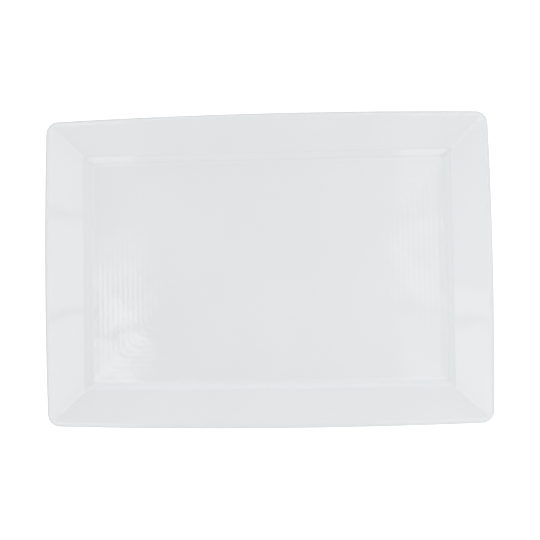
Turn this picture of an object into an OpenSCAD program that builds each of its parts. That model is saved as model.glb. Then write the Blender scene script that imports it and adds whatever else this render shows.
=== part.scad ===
// Rectangular china serving platter: a flat well inside a short steep wall,
// four flat sloped rim panels mitred at the corners, a rolled lip and a
// foot ring. The glaze is modelled as the thin glass skin that it is.
//
// Frame: millimetres, +X along the length, +Y along the width, +Z up.
// The origin is the middle of the foot ring's footprint, on the table.

/* [Outline] */
// Overall length, lip to lip, at the middle of the two short sides
overall_l = 356; // [300:1:410]
// Overall width, lip to lip, at the middle of the two long sides
overall_w = 250; // [215:1:290]
// How far each long side bows outwards at its middle
bow_long = 3.0; // [0:0.1:5]
// How far each short side bows outwards at its middle
bow_short = 1.9; // [0:0.1:4]
// Radius of the outline's four corners
corner_r = 9; // [6:0.5:14]

/* [Rim and lip] */
// Width of the rim in plan, from the outline to the top of the well wall
rim_w = 30.1; // [26:0.1:34]
// Slope of the rim panels above level, in degrees
rim_slope = 19.4; // [14:0.1:23]
// Thickness of the rim, square to its face
rim_t = 5.2; // [5.2:0.1:7]
// Radius of the rolled lip's upper edge
lip_r = 3.0; // [2.2:0.1:3]
// Softness of the mitre creases between the rim panels
mitre_r = 0.8; // [0.5:0.1:2]
// Radius of the edge between the rim and the well wall
edge_r = 1.3; // [0.8:0.1:2]

/* [Well] */
// Width of the well wall in plan
wall_w = 5.3; // [4.5:0.1:7]
// Height from the middle of the well floor to the edge of the rim
well_d = 5.6; // [4.5:0.1:7]
// Radius where the well wall meets the floor
cove_r = 3.0; // [2:0.1:4]
// Width of the border over which the floor lifts towards the wall
dish_w = 32; // [20:1:40]
// How far the floor lifts over that border
dish_h = 0.4; // [0.2:0.1:1.2]
// Radius of the floor's corners, inside the cove
floor_r = 6.5; // [4:0.5:10]
// Thickness of the floor, glaze included
floor_t = 4.5; // [4:0.1:6]

/* [Foot ring] */
// Depth of the recess inside the foot ring
recess_h = 2.5; // [2:0.1:4]
// Inset of the foot ring's outer edge from the outline
foot_in = 37.5; // [36.5:0.1:40]
// Width of the foot ring
foot_w = 5.2; // [4.5:0.1:8]
// Height above the table at which the glaze stops
bare_h = 1.0; // [0.9:0.1:1.4]

/* [Glaze] */
// Thickness of the glaze
glaze_t = 0.30; // [0.25:0.01:0.4]
// Thickness of the glaze at its edge by the foot ring
glaze_edge_t = 0.15; // [0.1:0.01:0.2]

/* [Hidden] */

// Steps round each corner, and along each long and each short side
n_corner = 5;
n_long = 10;
n_short = 8;

// Heights that follow from the dimensions above
m = tan(rim_slope);
k = sqrt(1 + m * m);
floor_z = recess_h + floor_t;
edge_z = floor_z + well_d;
function rim_z(s) = edge_z + m * (rim_w - s);
function under_z(s) = rim_z(s) - rim_t * k;
overall_h = rim_z(lip_r) - lip_r * k + lip_r;

// ---- A ring: a rounded rectangle whose sides bow outwards ----
// s is the inset from the outline at the middle of each side.
function bow_share(s) = max(0.15, 1 - 0.85 * s / rim_w);

function corner_pts(cx, cy, r, a0) =
    [for (i = [0:n_corner]) let (a = a0 + 90 * i / n_corner) [cx + r * cos(a), cy + r * sin(a)]];
function side_pts(p, q, n) =
    [for (i = [1:n - 1]) p + (q - p) * i / n];
function rrect(a, b, r) =
    let (c = [for (i = [0:3]) corner_pts((i == 0 || i == 3 ? 1 : -1) * (a - r),
                                         (i < 2 ? 1 : -1) * (b - r), r, 90 * i)])
    [for (i = [0:3]) each concat(c[i],
        side_pts(c[i][n_corner], c[(i + 1) % 4][0], i % 2 == 0 ? n_long : n_short))];
function bowed(p, a, b, ba, bb) =
    [p.x * (1 + ba / a * (1 - pow(p.y / b, 2))), p.y * (1 + bb / b * (1 - pow(p.x / a, 2)))];
function ring(s, z, r) =
    let (f = bow_share(s), ba = bow_short * f, bb = bow_long * f,
         a = overall_l / 2 - s - ba, b = overall_w / 2 - s - bb)
    [for (p = rrect(a, b, r)) let (q = bowed(p, a, b, ba, bb)) [q.x, q.y, z]];

// ---- Closed solid through a list of rings, capped at both ends ----
module loft(rings) {
    n = len(rings[0]);
    t = len(rings);
    polyhedron(
        points = [for (r = rings) each r],
        faces = concat(
            [[for (j = [n - 1:-1:0]) j]],
            [for (i = [0:t - 2], j = [0:n - 1]) let (u = (j + 1) % n) each
                [[i * n + j, i * n + u, (i + 1) * n + u], [i * n + j, (i + 1) * n + u, (i + 1) * n + j]]],
            [[for (j = [0:n - 1]) (t - 1) * n + j]]),
        convexity = 6);
}

// ---- Profile tools: points are [inset, height] ----
function unit(v) = v / norm(v);
// An arc of radius r in place of corner v, between its neighbours a and b, in n steps
function arc_at(a, v, b, r, n) =
    let (p = unit(a - v), q = unit(b - v), half = acos(p * q) / 2,
         t = r / tan(half), c = v + unit(p + q) * r / sin(half),
         p0 = v + p * t - c, p1 = v + q * t - c,
         a0 = atan2(p0.y, p0.x), d = atan2(p1.y, p1.x) - a0,
         turn = d > 180 ? d - 360 : d < -180 ? d + 360 : d)
    [for (i = [0:n]) c + r * [cos(a0 + turn * i / n), sin(a0 + turn * i / n)]];

// Corners of the profile, before rounding
wall_foot = [rim_w + wall_w, floor_z + dish_h];
rim_edge = [rim_w, edge_z];
lip_top = [0, rim_z(0)];
lip_under = [0, under_z(0)];
knee = [rim_w + 0.9, under_z(rim_w + 0.9)];
foot_top = [foot_in - 0.8, recess_h];
foot_out = [foot_in, 0];
foot_inn = [foot_in + foot_w, 0];
recess_edge = [foot_in + foot_w + 0.8, recess_h];
dish_in = rim_w + wall_w + dish_w;
function dish_z(s) = floor_z + dish_h * pow(max(0, (dish_in - s) / dish_w), 2);
// Radius that the lip's lower edge has room for
under_r = min(2.2, 0.96 * (lip_top.y - lip_under.y - lip_r * tan(45 + rim_slope / 2)) / tan(45 - rim_slope / 2));

// Radius of a ring's corners, on the face and on the underside
function face_r(s) = s <= rim_w ? max(corner_r - s, mitre_r)
                   : min(floor_r, mitre_r + 0.6 * max(0, s - rim_w - 0.6 * wall_w));
function back_r(s) = corner_r + 0.15 * s;
function with_r(pts) = [for (p = pts) [p.x, p.y, face_r(p.x)]];
function with_back_r(pts) = [for (p = pts) [p.x, p.y, back_r(p.x)]];

// Face: from the edge of the flat floor out to the lip, then under it to where the glaze stops
face_path = concat(
    with_r([for (i = [0:4]) let (s = dish_in - 0.85 * dish_w * i / 4) [s, dish_z(s)]]),
    with_r(arc_at([rim_w + wall_w + 6, dish_z(rim_w + wall_w + 6)], wall_foot, rim_edge, cove_r, 4)),
    with_r(arc_at(wall_foot, rim_edge, lip_top, edge_r, 3)),
    with_r([for (s = [rim_w * 0.62, corner_r + 2.5, corner_r - mitre_r, corner_r - mitre_r - 2]) [s, rim_z(s)]]),
    with_r(arc_at(rim_edge, lip_top, lip_under, lip_r, 7)),
    with_back_r(arc_at(lip_top, lip_under, knee, under_r, 3)),
    with_back_r([for (s = [rim_w * 0.35, rim_w * 0.68]) [s, under_z(s)]]),
    with_back_r(arc_at(lip_under, knee, foot_top, 4, 3)),
    with_back_r(arc_at(knee, foot_top, foot_out, 1.2, 3)),
    with_back_r([foot_top + (foot_out - foot_top) * (1 - bare_h / recess_h)]));

// Bare clay where the ring stands on the table
foot_path = with_back_r([
    foot_top + (foot_out - foot_top) * (1 - 0.6 / recess_h),
    foot_out + [0.5, 0],
    foot_inn - [0.5, 0],
    foot_inn + (recess_edge - foot_inn) * 0.6 / recess_h]);

// Base: from where the glaze starts again, up into the recess
base_path = with_back_r(concat(
    [foot_inn + (recess_edge - foot_inn) * bare_h / recess_h],
    arc_at(foot_inn, recess_edge, recess_edge + [10, 0], 1.2, 3),
    [recess_edge + [12, 0]]));

// The clay lies one glaze thickness under a glazed path; the glaze thins at the end named
function clay_under(path, thin) =
    let (n = len(path))
    [for (i = [0:n - 1])
        let (a = path[max(i - 1, 0)], b = path[min(i + 1, n - 1)],
             t = unit([a.x - b.x, b.y - a.y]),
             g = i == thin ? glaze_edge_t : glaze_t)
        [path[i].x - g * t.y, path[i].y - g * t.x, path[i].z]];

face_clay = clay_under(face_path, len(face_path) - 1);
base_clay = clay_under(base_path, 0);

function rings_of(path) = [for (p = path) ring(p.x, p.y, p.z)];
function reversed(v) = [for (i = [len(v) - 1:-1:0]) v[i]];

// Pressed and fired clay: well, wall, rim, lip and foot ring in one piece
module porcelain_body() {
    color("gainsboro")
        loft(rings_of(concat(face_clay, foot_path, base_clay)));
}

// Glass skin over the face, round the lip and down the outside to the foot ring
module face_glaze() {
    color("white")
        loft(rings_of(concat(face_path, reversed(face_clay))));
}

// Glass skin in the recess inside the foot ring
module base_glaze() {
    color("whitesmoke")
        loft(rings_of(concat(reversed(base_clay), base_path)));
}

porcelain_body();
face_glaze();
base_glaze();
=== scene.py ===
import math

import bpy
import numpy as np
from mathutils import Matrix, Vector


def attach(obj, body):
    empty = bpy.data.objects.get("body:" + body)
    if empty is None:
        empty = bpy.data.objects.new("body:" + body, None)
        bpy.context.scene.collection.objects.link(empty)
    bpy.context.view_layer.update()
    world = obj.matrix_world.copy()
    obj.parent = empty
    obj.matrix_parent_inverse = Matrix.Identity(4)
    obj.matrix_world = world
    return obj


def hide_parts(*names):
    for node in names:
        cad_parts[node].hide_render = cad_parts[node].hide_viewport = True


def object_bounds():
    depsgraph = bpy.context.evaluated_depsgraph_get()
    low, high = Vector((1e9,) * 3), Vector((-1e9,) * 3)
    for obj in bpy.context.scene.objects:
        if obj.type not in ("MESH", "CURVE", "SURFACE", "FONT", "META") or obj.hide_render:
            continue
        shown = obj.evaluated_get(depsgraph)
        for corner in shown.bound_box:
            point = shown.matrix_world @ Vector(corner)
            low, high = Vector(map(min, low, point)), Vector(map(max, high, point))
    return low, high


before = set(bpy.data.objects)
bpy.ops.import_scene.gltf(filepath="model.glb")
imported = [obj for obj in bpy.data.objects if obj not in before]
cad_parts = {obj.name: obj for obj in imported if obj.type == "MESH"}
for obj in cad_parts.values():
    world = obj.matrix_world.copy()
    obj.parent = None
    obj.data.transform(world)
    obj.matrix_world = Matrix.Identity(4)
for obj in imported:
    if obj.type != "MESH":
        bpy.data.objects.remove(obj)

CAD_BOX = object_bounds()
SCENE = bpy.context.scene

# ---------------------------------------------------------------------------
# Camera: nearly overhead, a little to the right and towards the near long side
# ---------------------------------------------------------------------------
cam_data = bpy.data.cameras.new("camera")
cam_data.sensor_width = 36.0
cam_data.lens = 73.333
cam_data.shift_x = 0.0069
cam_data.shift_y = -0.00025
cam_data.clip_start = 0.01
cam_data.clip_end = 40.0
cam = bpy.data.objects.new("camera", cam_data)
SCENE.collection.objects.link(cam)
cam.matrix_world = Matrix((
    (0.99785697, 0.01772653, 0.06298608, 0.05501),
    (-0.01494471, 0.99890358, -0.04436543, -0.03875),
    (-0.06370346, 0.04332905, 0.99702781, 0.88972),
    (0.0, 0.0, 0.0, 1.0)))
SCENE.camera = cam
SCENE.view_settings.view_transform = "Standard"
SCENE.view_settings.look = "None"

# ---------------------------------------------------------------------------
# The platter's dimensions, in millimetres: the same design as the CAD part
# ---------------------------------------------------------------------------
OVER_L, OVER_W = 356.0, 250.0
BOW_LONG, BOW_SHORT = 3.0, 1.9
CORNER_R = 9.0
RIM_W, RIM_SLOPE, RIM_T = 30.1, 19.4, 5.2
LIP_R, MITRE_R, EDGE_R = 3.0, 0.8, 1.3
WALL_W, WELL_D, COVE_R = 5.3, 5.6, 3.0
DISH_W, DISH_H, FLOOR_R, FLOOR_T = 32.0, 0.4, 6.5, 4.5
RECESS_H, FOOT_IN, FOOT_W, BARE_H = 2.5, 37.5, 5.2, 1.0
GLAZE_T, GLAZE_EDGE_T = 0.30, 0.15

M = math.tan(math.radians(RIM_SLOPE))
K = math.sqrt(1 + M * M)
FLOOR_Z = RECESS_H + FLOOR_T
EDGE_Z = FLOOR_Z + WELL_D

# Concentric relief pressed into the well floor
RING_PITCH = 4.1
RING_DEPTH = 0.011
RING_FROM = 39.0

# Points round each ring: a corner, a long side, a short side
N_CORNER, N_LONG, N_SHORT = 10, 56, 40


def rim_z(s):
    return EDGE_Z + M * (RIM_W - s)


def under_z(s):
    return rim_z(s) - RIM_T * K


def face_r(s):
    if s <= RIM_W:
        return max(CORNER_R - s, MITRE_R)
    return min(FLOOR_R, MITRE_R + 0.6 * max(0.0, s - RIM_W - 0.6 * WALL_W))


def back_r(s):
    return CORNER_R + 0.15 * s


DISH_IN = RIM_W + WALL_W + DISH_W


def dish_z(s):
    return FLOOR_Z + DISH_H * max(0.0, (DISH_IN - s) / DISH_W) ** 2


def unit(v):
    v = np.asarray(v, float)
    return v / np.linalg.norm(v)


def arc_at(a, v, b, r, n):
    """An arc of radius r in place of corner v of the profile, in n steps."""
    a, v, b = (np.asarray(t, float) for t in (a, v, b))
    p, q = unit(a - v), unit(b - v)
    half = math.acos(float(p @ q)) / 2
    t = r / math.tan(half)
    c = v + unit(p + q) * r / math.sin(half)
    p0, p1 = v + p * t - c, v + q * t - c
    a0 = math.atan2(p0[1], p0[0])
    d = math.atan2(p1[1], p1[0]) - a0
    d = d - 2 * math.pi if d > math.pi else d + 2 * math.pi if d < -math.pi else d
    return [(c[0] + r * math.cos(a0 + d * i / n), c[1] + r * math.sin(a0 + d * i / n)) for i in range(n + 1)]


WALL_FOOT = (RIM_W + WALL_W, FLOOR_Z + DISH_H)
RIM_EDGE = (RIM_W, EDGE_Z)
LIP_TOP = (0.0, rim_z(0))
LIP_UNDER = (0.0, under_z(0))
KNEE = (RIM_W + 0.9, under_z(RIM_W + 0.9))
FOOT_TOP = (FOOT_IN - 0.8, RECESS_H)
FOOT_OUT = (FOOT_IN, 0.0)
FOOT_INN = (FOOT_IN + FOOT_W, 0.0)
RECESS_EDGE = (FOOT_IN + FOOT_W + 0.8, RECESS_H)
UNDER_R = min(2.2, 0.96 * (LIP_TOP[1] - LIP_UNDER[1] - LIP_R * math.tan(math.radians(45 + RIM_SLOPE / 2)))
              / math.tan(math.radians(45 - RIM_SLOPE / 2)))
S_MID = OVER_W / 2 - 0.15 * BOW_LONG - 0.18


def lerp(p, q, t):
    return (p[0] + (q[0] - p[0]) * t, p[1] + (q[1] - p[1]) * t)


def between(p, q, n):
    """n points strictly between p and q."""
    return [lerp(p, q, i / (n + 1)) for i in range(1, n + 1)]


def face_profile(fine):
    """(s, z, r) from the middle of the well out to the lip and under it to the foot."""
    step = RING_PITCH / 8 if fine else 9.0
    count = int(round((S_MID - RING_FROM) / step))
    floor = [(s, dish_z(s)) for s in np.linspace(S_MID, RING_FROM, count + 1)]
    cove = arc_at((RIM_W + WALL_W + 6, dish_z(RIM_W + WALL_W + 6)), WALL_FOOT, RIM_EDGE, COVE_R, 12 if fine else 6)
    floor += between(floor[-1], cove[0], 3 if fine else 1)
    edge = arc_at(WALL_FOOT, RIM_EDGE, LIP_TOP, EDGE_R, 10 if fine else 5)
    wall = between(cove[-1], edge[0], 3 if fine else 1)
    lip = arc_at(RIM_EDGE, LIP_TOP, LIP_UNDER, LIP_R, 26 if fine else 9)
    kink = CORNER_R - MITRE_R
    rim = [(s, rim_z(s)) for s in (list(np.linspace(edge[-1][0] - 0.9, kink + 1.0, 15)) + [kink + 0.3, kink - 0.3]
           + list(np.linspace(kink - 1.1, lip[0][0] + 0.4, 4)) if fine
           else [20.0, 13.0, kink, kink - 2])]
    top = [(s, z, face_r(s)) for s, z in floor + cove + wall + edge + rim + lip]
    under = arc_at(LIP_TOP, LIP_UNDER, KNEE, UNDER_R, 12 if fine else 5)
    knee = arc_at(LIP_UNDER, KNEE, FOOT_TOP, 4.0, 10 if fine else 4)
    slope = between(under[-1], knee[0], 9 if fine else 3)
    foot = arc_at(KNEE, FOOT_TOP, FOOT_OUT, 1.2, 8 if fine else 4)
    run = between(knee[-1], foot[0], 2 if fine else 1)
    end = [lerp(FOOT_TOP, FOOT_OUT, 1 - BARE_H / RECESS_H)]
    under = under[1:] if np.hypot(*(np.array(under[0]) - lip[-1])) < 0.02 else under
    back = [(s, z, back_r(s)) for s, z in under + slope + knee + run + foot + end]
    return top + back


def inset(path, thin):
    """The clay under a glazed path: one glaze thickness in, thinner at the end named."""
    out = []
    for i, (s, z, r) in enumerate(path):
        a, b = path[max(i - 1, 0)], path[min(i + 1, len(path) - 1)]
        t = unit((a[0] - b[0], b[1] - a[1]))
        g = GLAZE_EDGE_T if i == thin else GLAZE_T
        out.append((s - g * t[1], z - g * t[0], r))
    return out


def base_profile(fine):
    start = lerp(FOOT_INN, RECESS_EDGE, BARE_H / RECESS_H)
    arc = arc_at(FOOT_INN, RECESS_EDGE, (RECESS_EDGE[0] + 10, RECESS_H), 1.2, 10 if fine else 5)
    n = 26 if fine else 8
    flat = [(s, RECESS_H) for s in np.linspace(arc[-1][0] + 1.0, S_MID, n)]
    return [(s, z, min(back_r(s), OVER_W / 2 - s - 0.15 * BOW_LONG)) for s, z in [start] + arc + flat]


def foot_profile():
    a, b = lerp(FOOT_TOP, FOOT_OUT, 1 - 0.6 / RECESS_H), (FOOT_OUT[0] + 0.5, 0.0)
    c, d = (FOOT_INN[0] - 0.5, 0.0), lerp(FOOT_INN, RECESS_EDGE, 0.6 / RECESS_H)
    pts = [a] + between(a, b, 3) + [b] + between(b, c, 4) + [c] + between(c, d, 3) + [d]
    return [(s, z, back_r(s)) for s, z in pts]


def ring(s, r):
    """A rounded rectangle whose sides bow outwards, at inset s, starting at the middle of the right side."""
    share = max(0.15, 1 - 0.85 * s / RIM_W)
    ba, bb = BOW_SHORT * share, BOW_LONG * share
    a, b = OVER_L / 2 - s - ba, OVER_W / 2 - s - bb
    r = min(r, b)
    pts = []
    corners = []
    for i, (sx, sy) in enumerate(((1, 1), (-1, 1), (-1, -1), (1, -1))):
        ang = np.radians(90 * i + np.linspace(0, 90, N_CORNER + 1))
        corners.append(np.c_[sx * (a - r) + r * np.cos(ang), sy * (b - r) + r * np.sin(ang)])
    for i in range(4):
        n = N_LONG if i % 2 == 0 else N_SHORT
        p, q = corners[i][-1], corners[(i + 1) % 4][0]
        t = (np.arange(1, n) / n)[:, None]
        pts += [corners[i], p + (q - p) * t]
    p = np.roll(np.vstack(pts), N_SHORT // 2, axis=0)
    return np.c_[p[:, 0] * (1 + ba / a * (1 - (p[:, 1] / b) ** 2)),
                 p[:, 1] * (1 + bb / b * (1 - (p[:, 0] / a) ** 2))]


# The slow unevenness of a pressed and fired plate: (wavelengths across x and y in mm, phase, height in mm)
WAVES = ((47, 61, 0.4, 0.012), (-59, 38, 2.1, 0.010), (83, -52, 4.0, 0.012), (-35, -42, 1.3, 0.007),
         (17, 21, 3.1, 0.0040), (19, -17, 0.9, 0.0036), (-13, 15, 2.7, 0.0026), (31, 12, 5.1, 0.0034),
         (9.5, 13, 1.9, 0.0013), (-11, 9, 4.4, 0.0012))


def unevenness(x, y):
    z = np.zeros_like(x)
    for wx, wy, ph, h in WAVES:
        z += h * np.sin(2 * math.pi * (x / wx + y / wy) + ph)
    return z


def smooth(t):
    t = min(max(t, 0.0), 1.0)
    return t * t * (3 - 2 * t)


def relief(s):
    """Depth of the pressed rings at inset s, in mm, zero at the wall."""
    if s < RING_FROM - 1:
        return 0.0
    u = ((s - RING_FROM) / RING_PITCH) % 1.0
    return RING_DEPTH * (0.5 - 0.5 * math.cos(2 * math.pi * u)) * smooth((s - RING_FROM + 1) / 2.5)


# The CAD's rolled lip is a little coarser, so the fine one stops at its height
TOP = CAD_BOX[1][2] * 1000.0


def vertices(path, live):
    """Rings of vertices for a path; live applies the relief and the unevenness."""
    out = []
    for i, (s, z, r) in enumerate(path):
        p = ring(s, r)
        h = np.full(len(p), z)
        if live[i]:
            h = h - relief(s) + unevenness(p[:, 0], p[:, 1]) * smooth((s - 4.0) / 8.0)
        out.append(np.c_[p, np.minimum(h, TOP)])
    return out


def painted_light_and_thinning_of(path):
    """+1 in a hollow of the profile, where painted light lightens the glaze against the shade there; -1 where the glaze
    really thins over an edge.
    """
    p = np.array([(s, z) for s, z, r in path])
    seg = np.diff(p, axis=0)
    length = np.hypot(*seg.T)
    ang = np.unwrap(np.arctan2(seg[:, 1], seg[:, 0]))
    at = np.r_[0, np.cumsum(length)]
    turn = np.zeros(len(p))
    turn[1:-1] = np.diff(ang)
    out = np.zeros(len(p))
    for i in range(len(p)):
        w = np.exp(-((at - at[i]) / 1.6) ** 2)
        out[i] = (w * turn).sum() / (1.6 * math.sqrt(math.pi))
    out = np.clip(-out / 0.22, -1, 0.6)
    # Painted light: the steep wall of the well is lightened too, against the shade it gets
    wall = np.clip(np.minimum(p[:, 0] - RIM_W - 0.3, RIM_W + WALL_W - 0.6 - p[:, 0]) / 0.8, 0, 1) * (p[:, 1] > 6.0)
    return np.maximum(out, 0.68 * wall) if wall.any() else out


# Marks the inner points of each corner's arc, in the order that ring() gives them: where the painted highlight along
# the mitre creases goes
PAINTED_CREASE_MASK = np.roll(np.concatenate([np.r_[0.0, np.ones(N_CORNER - 1), 0.0, np.zeros(n - 1)]
                                    for n in (N_LONG, N_SHORT, N_LONG, N_SHORT)]), N_SHORT // 2)


def painted_crease_highlight_of(path):
    """How strongly the painted highlight lies along the mitre crease at each ring of the rim's face."""
    kink = CORNER_R - MITRE_R
    return np.array([smooth((s - kink) / 3.0) if kink < s < RIM_W - 0.8 and abs(z - rim_z(s)) < 0.01 else 0.0
                     for s, z, r in path])


def shell(name, rings, painted_light_and_thinning, glazed):
    """A closed mesh through the rings, closed along the long axis at both ends."""
    n, t = len(rings[0]), len(rings)
    v = np.vstack(rings) / 1000.0
    faces = []
    half = n // 2
    for j in range(half):
        q = [j, j + 1, (n - j - 1) % n, (n - j) % n]
        faces.append([k for i, k in enumerate(q) if k not in q[:i]])
    for i in range(t - 1):
        for j in range(n):
            u = (j + 1) % n
            faces.append([i * n + j, (i + 1) * n + j, (i + 1) * n + u, i * n + u])
    top = (t - 1) * n
    for j in range(half):
        q = [(n - j) % n, (n - j - 1) % n, j + 1, j]
        faces.append([top + k for i, k in enumerate(q) if k not in q[:i]])
    mesh = bpy.data.meshes.new(name)
    mesh.from_pydata(v.tolist(), [], faces)
    mesh.validate()
    mesh.shade_smooth()
    mesh.set_sharp_from_angle(angle=math.radians(42))
    # The first attribute carries painted light in the hollows, on the well wall and along the mitre creases, and the
    # real thinning of the glaze over edges
    for label, values in (("painted_light_and_thinning", painted_light_and_thinning), ("glazed", glazed)):
        a = mesh.attributes.new(label, "FLOAT", "POINT")
        a.data.foreach_set("value", np.asarray(values, "f").ravel())
    obj = bpy.data.objects.new(name, mesh)
    SCENE.collection.objects.link(obj)
    return obj


# ---------------------------------------------------------------------------
# Materials
# ---------------------------------------------------------------------------
def nodes_of(name):
    mat = bpy.data.materials.new(name)
    mat.use_nodes = True
    return mat, mat.node_tree.nodes, mat.node_tree.links, mat.node_tree.nodes["Principled BSDF"]


def noise(nodes, links, coord, scale, detail=2.0, rough=0.5):
    n = nodes.new("ShaderNodeTexNoise")
    n.inputs["Scale"].default_value = scale
    n.inputs["Detail"].default_value = detail
    n.inputs["Roughness"].default_value = rough
    links.new(coord, n.inputs["Vector"])
    return n


def ranged(nodes, links, src, a, b, lo, hi):
    m = nodes.new("ShaderNodeMapRange")
    m.inputs["From Min"].default_value = a
    m.inputs["From Max"].default_value = b
    m.inputs["To Min"].default_value = lo
    m.inputs["To Max"].default_value = hi
    links.new(src, m.inputs["Value"])
    return m.outputs["Result"]


def mixed(nodes, links, fac, a, b):
    m = nodes.new("ShaderNodeMix")
    m.data_type = "RGBA"
    links.new(fac, m.inputs["Factor"])
    for sock, val in ((m.inputs[6], a), (m.inputs[7], b)):
        if isinstance(val, tuple):
            sock.default_value = (*val, 1.0)
        else:
            links.new(val, sock)
    return m.outputs[2]


def glaze_material():
    mat, nodes, links, bsdf = nodes_of("glaze")
    coord = nodes.new("ShaderNodeTexCoord").outputs["Object"]
    painted_light_and_thinning = nodes.new("ShaderNodeAttribute")
    painted_light_and_thinning.attribute_name = "painted_light_and_thinning"
    # Slow drift of the fired colour, then painted light: the glaze is lighter in hollows, on the well wall and along
    # the mitre creases to lift the shade there; over edges it is a real thinner, warmer glaze
    drift = noise(nodes, links, coord, 9.0, 3.0)
    col = mixed(nodes, links, ranged(nodes, links, drift.outputs["Fac"], 0.3, 0.7, 0, 1),
                (0.761, 0.7675, 0.7815), (0.777, 0.7805, 0.7900))
    # Painted light: a lighter colour in the hollows, on the well wall and along the mitre creases
    col = mixed(nodes, links, ranged(nodes, links, painted_light_and_thinning.outputs["Fac"], 0.0, 1.0, 0, 0.9),
                col, (0.814, 0.825, 0.835))
    col = mixed(nodes, links, ranged(nodes, links, painted_light_and_thinning.outputs["Fac"], 0.0, -1.0, 0, 0.5),
                col, (0.752, 0.752, 0.742))
    # Faint cloudiness inside the glass
    cloud = noise(nodes, links, coord, 420.0, 4.0, 0.6)
    col = mixed(nodes, links, ranged(nodes, links, cloud.outputs["Fac"], 0.55, 0.8, 0, 0.35),
                col, (0.728, 0.744, 0.756))
    links.new(col, bsdf.inputs["Base Color"])
    # Gloss: fired smooth, slightly duller in patches
    gloss = noise(nodes, links, coord, 31.0, 3.0)
    links.new(ranged(nodes, links, gloss.outputs["Fac"], 0.3, 0.7, 0.020, 0.040), bsdf.inputs["Roughness"])
    bsdf.inputs["IOR"].default_value = 1.50
    bsdf.inputs["Coat Weight"].default_value = 0.0
    # Orange peel and pinholes
    peel = noise(nodes, links, coord, 260.0, 2.0)
    bump = nodes.new("ShaderNodeBump")
    bump.inputs["Strength"].default_value = 0.35
    bump.inputs["Distance"].default_value = 0.00003
    links.new(peel.outputs["Fac"], bump.inputs["Height"])
    pits = nodes.new("ShaderNodeTexVoronoi")
    pits.inputs["Scale"].default_value = 95.0
    links.new(coord, pits.inputs["Vector"])
    bump2 = nodes.new("ShaderNodeBump")
    bump2.inputs["Strength"].default_value = 0.25
    bump2.inputs["Distance"].default_value = 0.00005
    links.new(ranged(nodes, links, pits.outputs["Distance"], 0.02, 0.05, 0, 1), bump2.inputs["Height"])
    links.new(bump.outputs["Normal"], bump2.inputs["Normal"])
    links.new(bump2.outputs["Normal"], bsdf.inputs["Normal"])
    return mat


def bisque_material():
    mat, nodes, links, bsdf = nodes_of("bisque")
    coord = nodes.new("ShaderNodeTexCoord").outputs["Object"]
    geo = nodes.new("ShaderNodeNewGeometry")
    axes = nodes.new("ShaderNodeSeparateXYZ")
    links.new(geo.outputs["Position"], axes.inputs["Vector"])
    grain = noise(nodes, links, coord, 1900.0, 4.0, 0.65)
    patch = noise(nodes, links, coord, 60.0, 3.0)
    col = mixed(nodes, links, ranged(nodes, links, grain.outputs["Fac"], 0.3, 0.7, 0, 1),
                (0.70, 0.685, 0.645), (0.80, 0.79, 0.76))
    # Grey scuffing where the ring stands on tables, in patches
    low = ranged(nodes, links, axes.outputs["Z"], 0.00035, 0.0, 0, 1)
    spread = ranged(nodes, links, patch.outputs["Fac"], 0.42, 0.62, 0.1, 0.75)
    both = nodes.new("ShaderNodeMath")
    both.operation = "MULTIPLY"
    links.new(low, both.inputs[0])
    links.new(spread, both.inputs[1])
    col = mixed(nodes, links, both.outputs[0], col, (0.50, 0.49, 0.465))
    links.new(col, bsdf.inputs["Base Color"])
    links.new(ranged(nodes, links, grain.outputs["Fac"], 0.3, 0.7, 0.78, 0.92), bsdf.inputs["Roughness"])
    bump = nodes.new("ShaderNodeBump")
    bump.inputs["Strength"].default_value = 0.6
    bump.inputs["Distance"].default_value = 0.00008
    links.new(grain.outputs["Fac"], bump.inputs["Height"])
    links.new(bump.outputs["Normal"], bsdf.inputs["Normal"])
    return mat


GLAZE = glaze_material()
BISQUE = bisque_material()

# ---------------------------------------------------------------------------
# Pieces
# ---------------------------------------------------------------------------
face = face_profile(True)
face_coarse = face_profile(False)
under_face = inset(face_coarse, len(face_coarse) - 1)
base = base_profile(True)
base_clay = inset(base, 0)
foot = foot_profile()


def piece(name, parts, mat, node):
    """parts: (path, live, glazed) one after another along the closed profile."""
    rings, painted_light_and_thinning, glazed = [], [], []
    for path, live, g in parts:
        rings += vertices(path, [live and s > 4.0 and z > 6.0 and r == face_r(s) for s, z, r in path])
        n = len(rings[0])
        # Painted light: lighter glaze in the hollows and on the well wall, and a painted highlight along the mitre
        # creases; negative values are the glaze's real thinning over edges
        flat = np.repeat((painted_light_and_thinning_of(path) if g else np.zeros(len(path)))[:, None], n, axis=1)
        painted_crease_light = painted_crease_highlight_of(path)[:, None] * PAINTED_CREASE_MASK[None, :] if g else 0.0
        painted_light_and_thinning.append(np.maximum(flat, painted_crease_light))
        glazed.append(np.full(flat.shape, 1.0 if g else 0.0))
    obj = shell(name, rings, np.vstack(painted_light_and_thinning), np.vstack(glazed))
    obj.data.materials.append(mat)
    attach(obj, "root")
    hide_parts(node)
    return obj


piece("glaze_face", ((face, True, True), (under_face[::-1], False, False)), GLAZE, "face_glaze")
piece("clay_body", ((under_face, False, False), (foot, False, False), (base_clay, False, False)),
      BISQUE, "porcelain_body")
piece("glaze_base", ((base_clay[::-1], False, False), (base, False, True)), GLAZE, "base_glaze")

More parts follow.
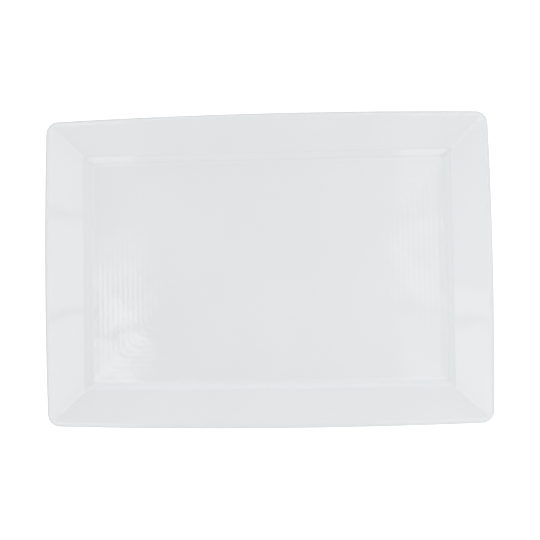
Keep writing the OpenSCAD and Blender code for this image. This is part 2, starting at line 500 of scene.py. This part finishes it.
# ---------------------------------------------------------------------------
# Floor, backdrop and lights
# ---------------------------------------------------------------------------
def stage_material(name, colour, glow, one_sided=False):
    mat, nodes, links, bsdf = nodes_of(name)
    bsdf.inputs["Base Color"].default_value = (*colour, 1)
    bsdf.inputs["Roughness"].default_value = 0.9
    bsdf.inputs["Specular IOR Level"].default_value = 0.0
    bsdf.inputs["Emission Color"].default_value = (1, 1, 1, 1)
    bsdf.inputs["Emission Strength"].default_value = glow
    if one_sided:   # clear from underneath, so that the foot and the base can be looked at
        clear = nodes.new("ShaderNodeBsdfTransparent")
        geo = nodes.new("ShaderNodeNewGeometry")
        mix = nodes.new("ShaderNodeMixShader")
        links.new(geo.outputs["Backfacing"], mix.inputs["Fac"])
        links.new(bsdf.outputs["BSDF"], mix.inputs[1])
        links.new(clear.outputs["BSDF"], mix.inputs[2])
        links.new(mix.outputs["Shader"], nodes["Material Output"].inputs["Surface"])
    return mat


def staged(name, verts, faces, mat):
    mesh = bpy.data.meshes.new(name)
    mesh.from_pydata(verts, [], faces)
    mesh.materials.append(mat)
    obj = bpy.data.objects.new(name, mesh)
    SCENE.collection.objects.link(obj)
    obj.visible_glossy = False
    obj.visible_diffuse = False
    return obj


floor = staged("studio_floor", [(-9, -9, -0.0002), (9, -9, -0.0002), (9, 9, -0.0002), (-9, 9, -0.0002)],
               [(0, 1, 2, 3)], stage_material("studio_floor", (0.58, 0.58, 0.58), 0.68, True))

# Plain white surround, far outside everything, for the camera only
R, N = 15.0, 24
dome = [(R * math.cos(a) * math.cos(e), R * math.sin(a) * math.cos(e), R * math.sin(e))
        for e in (math.radians(-90 + 180 * i / 12) for i in range(13)) for a in (2 * math.pi * j / N for j in range(N))]
surround = staged("studio_surround", dome,
                  [(i * N + j, i * N + (j + 1) % N, (i + 1) * N + (j + 1) % N, (i + 1) * N + j)
                   for i in range(12) for j in range(N)], stage_material("studio_surround", (0.0, 0.0, 0.0), 1.0))
surround.visible_shadow = False
surround.visible_transmission = False
surround.visible_volume_scatter = False

LIGHT = 0.996
world = bpy.data.worlds.new("studio")
world.use_nodes = True
wn, wl = world.node_tree.nodes, world.node_tree.links
sky = wn.new("ShaderNodeTexCoord")
height = wn.new("ShaderNodeSeparateXYZ")
wl.new(sky.outputs["Generated"], height.inputs["Vector"])
tone = wn.new("ShaderNodeValToRGB")
tone.color_ramp.elements[0].position = 0.0
tone.color_ramp.elements[1].position = 1.0
for at, c in ((0.0, 0.46), (0.47, 0.52), (0.53, 1.06), (0.62, 1.06), (0.72, 0.84), (0.85, 0.50), (1.0, 0.50)):
    e = tone.color_ramp.elements.new(at) if 0 < at < 1 else tone.color_ramp.elements[0 if at == 0 else -1]
    e.color = (c * 0.955, c * 0.985, c, 1)
up = wn.new("ShaderNodeMapRange")
up.inputs["From Min"].default_value = -1.0
up.inputs["From Max"].default_value = 1.0
wl.new(height.outputs["Z"], up.inputs["Value"])
wl.new(up.outputs["Result"], tone.inputs["Fac"])
# Below the horizon it is lighter towards the right and the near side
side = wn.new("ShaderNodeVectorMath")
side.operation = "DOT_PRODUCT"
side.inputs[1].default_value = (0.75, -0.66, 0.0)
wl.new(sky.outputs["Generated"], side.inputs[0])
gain = wn.new("ShaderNodeMapRange")
gain.inputs["From Min"].default_value = -1.0
gain.inputs["From Max"].default_value = 1.0
gain.inputs["To Min"].default_value = 0.42 * LIGHT
gain.inputs["To Max"].default_value = 1.60 * LIGHT
wl.new(side.outputs["Value"], gain.inputs["Value"])
# Above it, a little lighter towards the far side
back = wn.new("ShaderNodeVectorMath")
back.operation = "DOT_PRODUCT"
back.inputs[1].default_value = (-0.60, 0.80, 0.0)
wl.new(sky.outputs["Generated"], back.inputs[0])
rise = wn.new("ShaderNodeMapRange")
rise.inputs["From Min"].default_value = -1.0
rise.inputs["From Max"].default_value = 1.0
rise.inputs["To Min"].default_value = 0.94 * LIGHT
rise.inputs["To Max"].default_value = 1.15 * LIGHT
wl.new(back.outputs["Value"], rise.inputs["Value"])
below = wn.new("ShaderNodeMapRange")
below.inputs["From Min"].default_value = -0.05
below.inputs["From Max"].default_value = 0.05
wl.new(height.outputs["Z"], below.inputs["Value"])
lift = wn.new("ShaderNodeMix")
lift.data_type = "FLOAT"
wl.new(below.outputs["Result"], lift.inputs["Factor"])
wl.new(gain.outputs["Result"], lift.inputs[2])
wl.new(rise.outputs["Result"], lift.inputs[3])
wl.new(tone.outputs["Color"], wn["Background"].inputs["Color"])
wl.new(lift.outputs["Result"], wn["Background"].inputs["Strength"])
SCENE.world = world


def softbox(name, at, wide, tall, radiance, tint=(1, 1, 1), roll=0.0, level=False, across=0.0):
    """A panel at this place, facing the platter, with its tall side along Y where it hangs overhead.

    across moves it along its own wide side.
    """
    v = np.array(at, float)
    data = bpy.data.lights.new(name, "AREA")
    data.shape = "RECTANGLE"
    data.size, data.size_y = wide, tall
    data.energy = LIGHT * radiance * math.pi * wide * tall
    data.color = tint
    obj = bpy.data.objects.new(name, data)
    z = unit(v * (1, 0, 1)) if level else unit(v)
    x = unit(np.cross((0.0, 1.0, 0.0), z)) if abs(v[0]) + abs(v[2]) > abs(v[1]) else unit((-v[1], v[0], 0))
    y = np.cross(z, x)
    c, r = math.cos(math.radians(roll)), math.sin(math.radians(roll))
    x, y = x * c + y * r, y * c - x * r
    v = v + x * across
    obj.matrix_world = Matrix(((x[0], y[0], z[0], v[0]), (x[1], y[1], z[1], v[1]),
                               (x[2], y[2], z[2], v[2]), (0, 0, 0, 1)))
    SCENE.collection.objects.link(obj)
    obj.visible_camera = False
    return obj


WARM = (1.0, 0.985, 0.945)
COOL = (0.965, 0.99, 1.0)
# Long overhead panels either side of a clear middle, with narrow gaps across them
# (from y, to y, radiance of the inner half, radiance of the outer half)
for name, y0, y1, inner, outer in (("far", 0.358, 1.510, 1.06, 0.86), ("mid", 0.011, 0.332, 1.58, 1.12),
                                   ("near", -1.505, -0.019, 1.16, 1.20)):
    at = (0.93, (y0 + y1) / 2, 3.05)
    softbox("right_inner_" + name, at, 0.46, y1 - y0, inner, WARM, level=True, across=-0.43)
    softbox("right_outer_" + name, at, 0.95, y1 - y0, outer, WARM, level=True, across=0.275)
# Dimmer strips along the inner edge, so that it fades into the clear middle
softbox("right_fade", (0.93, 0.0, 3.05), 0.14, 3.01, 0.33, WARM, level=True, across=-0.73)
softbox("right_fade_out", (0.93, 0.0, 3.05), 0.15, 3.01, 0.22, WARM, level=True, across=-0.875)
softbox("right_back", (0.93, 3.25, 3.05), 1.50, 1.70, 1.15, WARM, level=True)
softbox("right_front", (0.93, -2.70, 3.05), 1.50, 2.30, 0.40, WARM, level=True)
for name, y0, y1, inner, outer, tint in (("far", 0.312, 1.510, 0.20, 0.66, COOL), ("upper", 0.210, 0.312, 0.80, 0.66, COOL),
                                         ("next", 0.070, 0.210, 1.62, 0.66, COOL),
                                         ("mid", -0.037, 0.066, 2.20, 1.25, WARM),
                                         ("near", -1.540, -0.064, 1.97, 1.34, WARM)):
    at = (-1.42, (y0 + y1) / 2, 2.90)
    softbox("left_inner_" + name, at, 0.625, y1 - y0, inner, tint, -2.2, level=True, across=0.4625)
    softbox("left_fade_" + name, at, 0.055, y1 - y0, 0.5 * inner, tint, -2.2, level=True, across=0.8025)
    softbox("left_outer_" + name, at, 1.00, y1 - y0, outer, tint, -2.2, level=True, across=-0.35)
softbox("left_back", (-1.38, 3.25, 2.90), 1.70, 1.70, 1.35, WARM, level=True)
softbox("left_front", (-1.46, -2.70, 2.90), 1.70, 2.20, 0.27, WARM, level=True)
# Low panels at the near side, either side of the camera
softbox("low_left", (-1.20, -2.95, 0.45), 1.10, 0.60, 1.15, WARM)
softbox("low_right", (1.00, -2.95, 0.45), 1.50, 0.60, 1.25, WARM)
# A closer fill to the right, soft and without a highlight of its own
softbox("fill_right", (1.15, 0.10, 0.75), 0.60, 0.60, 1.50, (1.0, 0.965, 0.955)).visible_glossy = False

# ---------------------------------------------------------------------------
bpy.context.view_layer.update()
